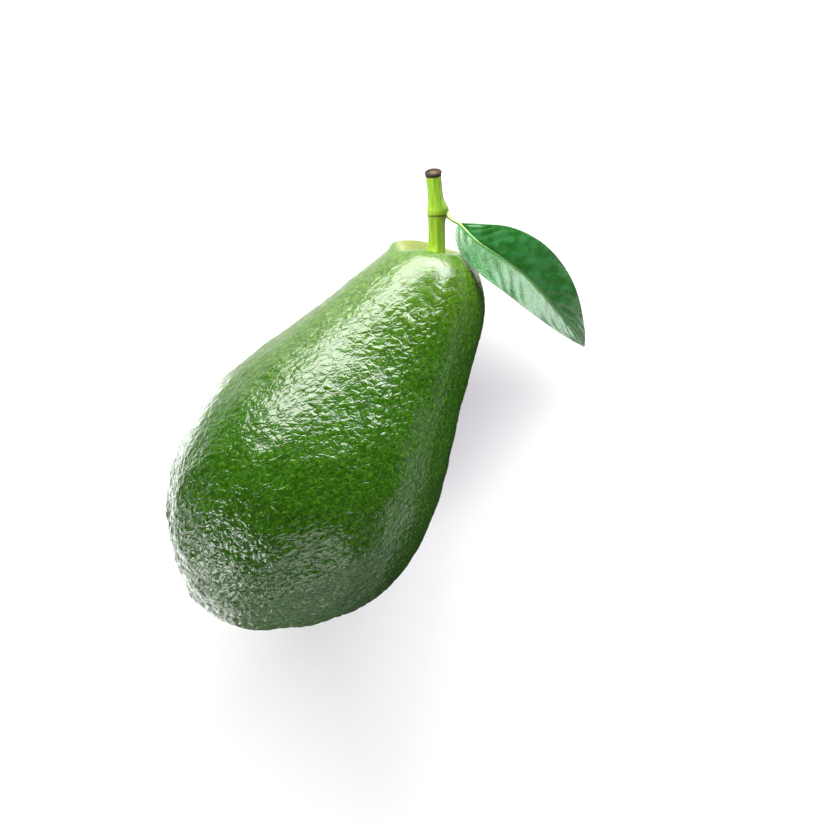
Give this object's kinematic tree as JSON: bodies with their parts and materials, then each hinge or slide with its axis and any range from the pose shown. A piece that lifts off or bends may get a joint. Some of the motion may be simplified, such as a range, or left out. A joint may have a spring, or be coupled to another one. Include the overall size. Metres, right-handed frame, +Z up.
{
  "type": "avocado",
  "caption": "Whole green pear-shaped avocado lying on its side, with a cut green stem and one small leaf still on it.",
  "frame": {"origin": "middle of the small flat spot on the fruit's belly that it rests on, under its centre of weight", "axes": "+Z up from the surface; +X along the lying fruit towards its neck and stem; +Y towards the side the stem leans to, with the leaf on the -Y side"},
  "size_m": [0.1355, 0.0789, 0.0703],
  "materials": {
    "avocado_skin": "pebbled glossy green skin with pale dots",
    "green_stem": "smooth lime-green bark, browned at the cut",
    "leaf_green": "waxy dark green leaf"
  },
  "bodies": {
    "root": {"fruit": "avocado_skin", "stem": "green_stem", "leaf": "leaf_green"}
  },
  "joints": []
}
